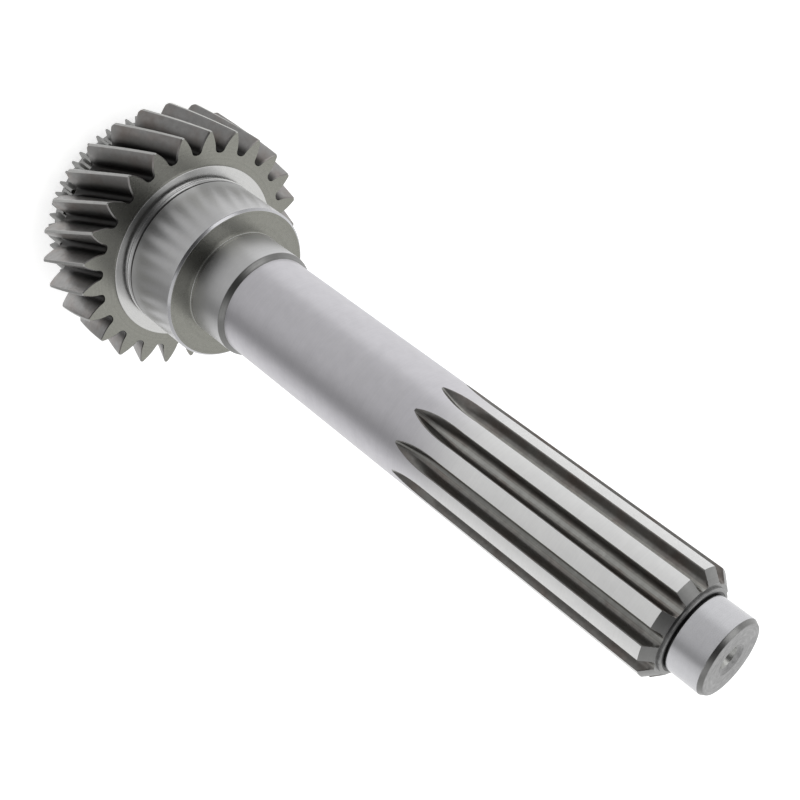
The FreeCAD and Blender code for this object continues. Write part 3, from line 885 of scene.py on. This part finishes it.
straight_heights = np.concatenate([
    np.linspace(SHAFT_START + GAP_AFTER, RUNOUT_START - TIP_BACK - BLEND_LENGTH - GAP_BEFORE, PLAIN_ROWS),
    RUNOUT_START - runout_backs,
    np.linspace(RUNOUT_START + GAP_AFTER, SPLINE_FRONT - SPLINE_CHAMFER - GAP_BEFORE, SPLINE_ROWS)])
straight_rows = np.column_stack([np.full(len(straight_heights), SHAFT_RADIUS), straight_heights])
from_front = np.array([3.0, 2.0, 1.0, 0.0])
chamfer_rows = np.column_stack([SHAFT_RADIUS - SPLINE_CHAMFER + from_front, SPLINE_FRONT - from_front])
rows = np.concatenate([turned_rows, straight_rows, chamfer_rows])
row_radius, row_height = rows[np.argsort(rows[:, 1], kind="stable")].T
print("rows along the shaft:", len(row_height))

# %% [markdown]
# Columns round the shaft
#
# Columns follow the floor, fillet, flank, edge and land of each space. Behind the spaces
# they slide over BLEND_LENGTH into even steps. Each point takes the smaller of two radii,
# the outline's and the space's, so the front chamfer cuts the teeth as the lathe did.

# %% Columns round the shaft
back = RUNOUT_START - row_height
half = half_spaces(np.full_like(back, SHAFT_RADIUS), back)
space = mirrored(half)
cut_radius, cut_angle = repeat_round(np.hypot(space[..., 0], space[..., 1]),
                                     np.arctan2(space[..., 1], space[..., 0]), SPLINE_COUNT)
columns = cut_radius.shape[1]
even_angle = cut_angle[0, 0] + 2 * math.pi * np.arange(columns) / columns
evenness = np.clip((back - TIP_BACK) / BLEND_LENGTH, 0, 1)[:, None]
ring_angle = cut_angle + (even_angle[None, :] - cut_angle) * evenness
is_round = (back >= TIP_BACK - TINY)[:, None]
ring_radius = np.where(is_round, row_radius[:, None], np.minimum(cut_radius, row_radius[:, None]))
on_skin = ring_radius > row_radius[:, None] - TINY

# One more row closes the front face down to the pilot's radius.
ring_radius = np.concatenate([ring_radius, np.full((1, columns), PILOT_RADIUS)])
ring_angle = np.concatenate([ring_angle, ring_angle[-1:]])
ring_height = np.append(row_height, SPLINE_FRONT)[:, None] + 0 * ring_radius
shaft_points = np.stack([ring_radius * np.cos(ring_angle), ring_radius * np.sin(ring_angle),
                         ring_height], axis=-1)
print("columns round the shaft:", columns)

# %% [markdown]
# Which finish goes where on the shaft
#
# The finish of a face goes by its row and by its column within one pitch. The neck is
# ground like the seat, the taper, the front face and the facets of the chamfer are turned,
# the middle of each floor is lighter than its fillets and walls, a painted highlight against
# painted shade, and all the rest is satin. Most of the edge break belongs to the dark wall
# and its painted shade, as in the photograph.

# %% Splined shaft
FILLET_SIDE = 2
TAPER_EDGE = 0.1
per_space = columns // SPLINE_COUNT
wall_end = MIDDLE_COLUMNS + FILLET_COLUMNS + FLANK_COLUMNS + EDGE_COLUMNS + 1
from_middle = np.abs(np.arange(per_space) - (half.shape[1] - 1) + 0.5)
from_middle = np.tile(from_middle, SPLINE_COUNT)[None, :]
# Masks for the painted highlight in the middle of each floor and the painted shade on fillets and walls.
in_space = from_middle < wall_end
is_highlight_strip = from_middle < MIDDLE_COLUMNS + 1
is_shade_side = from_middle < MIDDLE_COLUMNS + 1 + FILLET_SIDE

mid_height = ((ring_height[:-1, 0] + ring_height[1:, 0]) / 2)[:, None]
is_cut = mid_height > RUNOUT_START - TIP_BACK
is_neck = mid_height < NECK_FRONT - TAPER_EDGE
is_taper = ~is_neck & (mid_height < SHAFT_START + TAPER_EDGE)
face_on_skin = on_skin[:-1] & on_skin[1:]
face_on_skin = face_on_skin & np.roll(face_on_skin, -1, axis=1)
face_on_skin = np.concatenate([face_on_skin, np.zeros((1, columns), bool)])
is_facet = (mid_height > SPLINE_FRONT - SPLINE_CHAMFER) & face_on_skin
is_front = (np.arange(len(mid_height)) == len(mid_height) - 1)[:, None]
shaft_finish = np.select([is_neck, is_taper | is_front | is_facet, is_cut & is_highlight_strip,
                          is_cut & is_shade_side, is_cut & in_space], [0, 1, 2, 3, 4], default=5)
grid_piece("splined_shaft", shaft_points, [SEAT, TURNED, FLOOR_HIGHLIGHT, FILLET_SHADE, WALL_SHADE, SATIN],
           shaft_finish, poles=(SHAFT_FOOT, SPLINE_FRONT))

# %% [markdown]
# The helical gear
#
# A tooth flank is an involute of the base circle: at radius r the tooth's half angle is
# the half angle at the base circle less inv(acos(base / r)), where inv(a) = tan a - a.
# Module and pressure angle are those of the cutter, square to the tooth, and the helix
# angle turns them into the ones across the shaft. A gear add-on could draw this, but the
# formula is short and its numbers are the real gear's.

# %% Tooth form
TEETH, NORMAL_MODULE, PRESSURE, HELIX, SHIFT = 25, 3.75, 20.0, 21.5, 0.2
ADDENDUM, DEDENDUM = 5.72, 3.98
helix = math.radians(HELIX)
pressure = math.radians(PRESSURE)
pitch_radius = TEETH * NORMAL_MODULE / math.cos(helix) / 2
gear_tip, gear_root = pitch_radius + ADDENDUM, pitch_radius - DEDENDUM
across_pressure = math.atan(math.tan(pressure) / math.cos(helix))
base_radius = pitch_radius * math.cos(across_pressure)
half_at_pitch = (math.pi / 2 + 2 * SHIFT * math.tan(pressure)) / TEETH
half_at_base = half_at_pitch + math.tan(across_pressure) - across_pressure
print("pitch radius", round(pitch_radius, 3), "tip", round(gear_tip, 3), "root", round(gear_root, 3))


def tooth_half_angle(radius):
    """Half the tooth's angle at a radius. Under the base circle the flank is radial."""
    roll = np.arccos(np.clip(base_radius / np.maximum(radius, base_radius), 0, 1))
    return half_at_base - (np.tan(roll) - roll)


# %% [markdown]
# Half a tooth
#
# The outline runs from the middle of a space over the root, a bend into the flank, the
# involute and a small bend onto the crest. All of it is worked out as radius and angle,
# because the bends then follow the circles of the gear.

# %% Half a tooth
ROOT_CUT, TIP_CUT = 2.4, 0.2
ROOT_INSET, LONGEST_ROOT_CUT = 0.5, 0.9
LAND_STEPS, ROOT_STEPS, FLANK_POINTS, TIP_STEPS, CREST_STEPS = 3, 6, 10, 3, 3


def half_tooth(tip, inset):
    """For each row, points (radius, angle) from the middle of a space to the crest's middle.

    tip is the row's crest radius and inset how far the edge break moves the flank in. The
    root goes in by ROOT_INSET of that, and a bend takes LONGEST_ROOT_CUT of the land at most.
    """
    root = np.full_like(tip, gear_root) - ROOT_INSET * inset
    foot = np.stack([root, tooth_half_angle(root) - inset / root], axis=-1)
    cut_along = np.minimum(ROOT_CUT / gear_root, LONGEST_ROOT_CUT * (math.pi / TEETH - foot[:, 1]))
    land_start = np.stack([root, np.full_like(tip, math.pi / TEETH)], axis=-1)
    land_end = np.stack([root, foot[:, 1] + cut_along], axis=-1)
    low, high = root + ROOT_CUT, tip - TIP_CUT
    radii = low[:, None] + (high - low)[:, None] * np.linspace(0, 1, FLANK_POINTS)
    flank = np.stack([radii, tooth_half_angle(radii) - inset[:, None] / radii], axis=-1)
    crest_angle = tooth_half_angle(tip) - inset / tip
    corner = np.stack([tip, crest_angle], axis=-1)
    crest_start = np.stack([tip, crest_angle - TIP_CUT / tip], axis=-1)
    middle = np.stack([tip, np.zeros_like(tip)], axis=-1)
    return np.concatenate([
        line(land_start, land_end, LAND_STEPS), land_end[:, None],
        bend(land_end, foot, flank[:, 0], ROOT_STEPS), flank,
        bend(flank[:, -1], corner, crest_start, TIP_STEPS),
        line(crest_start, middle, CREST_STEPS), middle[:, None],
    ], axis=1)


# %% [markdown]
# Twist and bevels along the gear
#
# The whole outline turns steadily along the axis, which makes the teeth helical. Near the
# end faces the tips are bevelled on a cone and the edges of the flanks are broken, so the
# rows lie closer there.

# %% Outline along the gear
TWIST = 2 * math.sin(helix) / (TEETH * NORMAL_MODULE)
GEAR_PHASE = math.radians(6.0)
FRONT_BEVEL, REAR_BEVEL, EDGE_BREAK = 0.4, 1.2, 0.45
FRONT_GAP, REAR_GAP, INNER_ROWS = 2.4, 2.6, 20
end_steps = np.array([0.0, 0.15, 0.3, FRONT_BEVEL, EDGE_BREAK, 0.55, 0.8, 1.1, REAR_BEVEL, 1.3, 1.6])
gear_heights = np.unique(np.round(np.concatenate([
    GEAR_REAR + end_steps, np.linspace(GEAR_REAR + REAR_GAP, GEAR_FRONT - FRONT_GAP, INNER_ROWS),
    GEAR_FRONT - end_steps]), 4))
to_front, to_rear = GEAR_FRONT - gear_heights, gear_heights - GEAR_REAR
crest = np.minimum(gear_tip, gear_tip - FRONT_BEVEL + to_front)
crest = np.minimum(crest, gear_tip - REAR_BEVEL + to_rear)
inset = np.clip(EDGE_BREAK - np.minimum(to_front, to_rear), 0, EDGE_BREAK)
gear_half = half_tooth(crest, inset)
tooth = np.concatenate([gear_half * [1, -1], gear_half[:, -2:0:-1]], axis=1)
gear_radius, gear_angle = repeat_round(tooth[..., 0], tooth[..., 1], TEETH)
gear_angle = gear_angle + GEAR_PHASE + TWIST * to_front[:, None]
print("rows along the gear:", len(gear_heights), "points round it:", gear_radius.shape[1])

# %% [markdown]
# End faces of the gear
#
# The gear is a ring, so its sheet needs two flat end faces. Rows at three shares of the way
# from the inner radius to the outline make each face, and the first and the last row of
# the sheet join inside the core.

# %% Helical gear
INNER_RADIUS = 38.0
END_SHARES = np.array([0.0, 0.5, 0.92])
END_ROWS = len(END_SHARES)


def close_ring(radius, angle, heights, inner):
    """Adds flat end faces: rows at inner + share (outline - inner) before and after."""
    low_radius = inner + (radius[0] - inner)[None, :] * END_SHARES[:, None]
    high_radius = inner + (radius[-1] - inner)[None, :] * END_SHARES[::-1, None]
    all_radius = np.concatenate([low_radius, radius, high_radius])
    all_angle = np.concatenate([angle[[0] * END_ROWS], angle, angle[[-1] * END_ROWS]])
    all_height = np.concatenate([[heights[0]] * END_ROWS, heights, [heights[-1]] * END_ROWS])
    return np.stack([all_radius * np.cos(all_angle), all_radius * np.sin(all_angle),
                     all_height[:, None] + 0 * all_radius], axis=-1)


gear_points = close_ring(gear_radius, gear_angle, gear_heights, INNER_RADIUS)
gear_rows = len(gear_points)
tooth_columns = gear_points.shape[1] // TEETH
crest_columns = TIP_STEPS + CREST_STEPS + 1
from_space = np.minimum(np.arange(tooth_columns) + 0.5, tooth_columns - np.arange(tooth_columns) - 0.5)
is_crest = np.tile(from_space > gear_half.shape[1] - crest_columns, TEETH)[None, :]
is_face = np.ones((gear_rows, 1), bool)
is_face[END_ROWS:gear_rows - END_ROWS - 1] = False
gear_finish = np.select([is_face, ~is_face & is_crest], [0, 2], default=1)
grid_piece("helical_gear", gear_points, [OLIVE, FLANK, CREST], gear_finish)

# %% [markdown]
# The dog teeth
#
# The small teeth take a sliding sleeve. Their spaces are wedges with a narrow floor, and
# at the rear end each tooth comes to a ridge like a roof. Seen along a radius, the roof is
# a straight slope: the space's half width falls from its mouth to its full depth over the
# roof's length, and the wider of wedge and notch wins.

# %% Half a dog tooth
DOG_ROOT = DOG_TIP - DOG_DEPTH
DOG_ROOF, DOG_RIDGE, DOG_SLOPE = 2.4, 0.5, math.tan(math.radians(25))
DOG_FLOOR_HALF = 0.55
DOG_MOUTH_HALF = DOG_ROOT * math.tan(math.pi / DOG_COUNT) - DOG_RIDGE / 2
DOG_EDGE = 0.15
DOG_LAND_POINTS, ROOF_ROWS = 4, 9
WALL_SHARES = np.array([0.0, 0.0, 0.0, 0.15, 0.35, 0.55, 0.75, 0.93])
FLOOR_SHARES = np.array([0.0, 0.6, 1.0, 1.0, 1.0, 1.0, 1.0, 1.0])


def half_dog(height):
    """For each row, points (radius, angle) from the middle of a space to the middle of a tooth.

    The half width at the share s of the depth is the larger of floor + s depth slope and
    the notch at this height. The first two points lie on the floor, nearer its middle.
    """
    climb = np.clip((height - HUB_TOP) / DOG_ROOF, 0, 1)
    notch = DOG_MOUTH_HALF + (DOG_FLOOR_HALF - DOG_MOUTH_HALF) * climb
    depth = WALL_SHARES * DOG_DEPTH
    width = np.maximum(DOG_FLOOR_HALF + depth[None, :] * DOG_SLOPE, notch[:, None]) * FLOOR_SHARES
    radius = DOG_ROOT + depth[None, :] + 0 * width
    crest_width = np.maximum(DOG_FLOOR_HALF + DOG_DEPTH * DOG_SLOPE, notch) + DOG_EDGE
    crest_angle = np.arctan2(crest_width, DOG_TIP)
    across = np.linspace(0, 1, DOG_LAND_POINTS)
    land = crest_angle[:, None] + (math.pi / DOG_COUNT - crest_angle)[:, None] * across
    return np.stack([np.concatenate([radius, DOG_TIP + 0 * land], axis=1),
                     np.concatenate([np.arctan2(width, radius), land], axis=1)], axis=-1)


# %% [markdown]
# The ring repeats the half tooth as the splines do, a little turned, so that the teeth
# stand as in the photograph. Its front edge is broken like its other edges.

# %% Dog teeth
DOG_PHASE = math.radians(3.6)
roof_heights = HUB_TOP + np.linspace(0, DOG_ROOF, ROOF_ROWS)
dog_heights = np.append(roof_heights, [roof_heights[-1] + 0.2, DOG_TOP - 1, DOG_TOP - DOG_EDGE, DOG_TOP])
dog_half = half_dog(dog_heights)
dog_half[-1, :, 0] = np.minimum(dog_half[-1, :, 0], DOG_TIP - DOG_EDGE)
dog = mirrored(dog_half)
dog_radius, dog_angle = repeat_round(dog[..., 0], dog[..., 1], DOG_COUNT, math.pi / DOG_COUNT + DOG_PHASE)
dog_points = close_ring(dog_radius, dog_angle, dog_heights, INNER_RADIUS)
grid_piece("dog_ring", dog_points, [TURNED], np.zeros(dog_points.shape[:2], int))
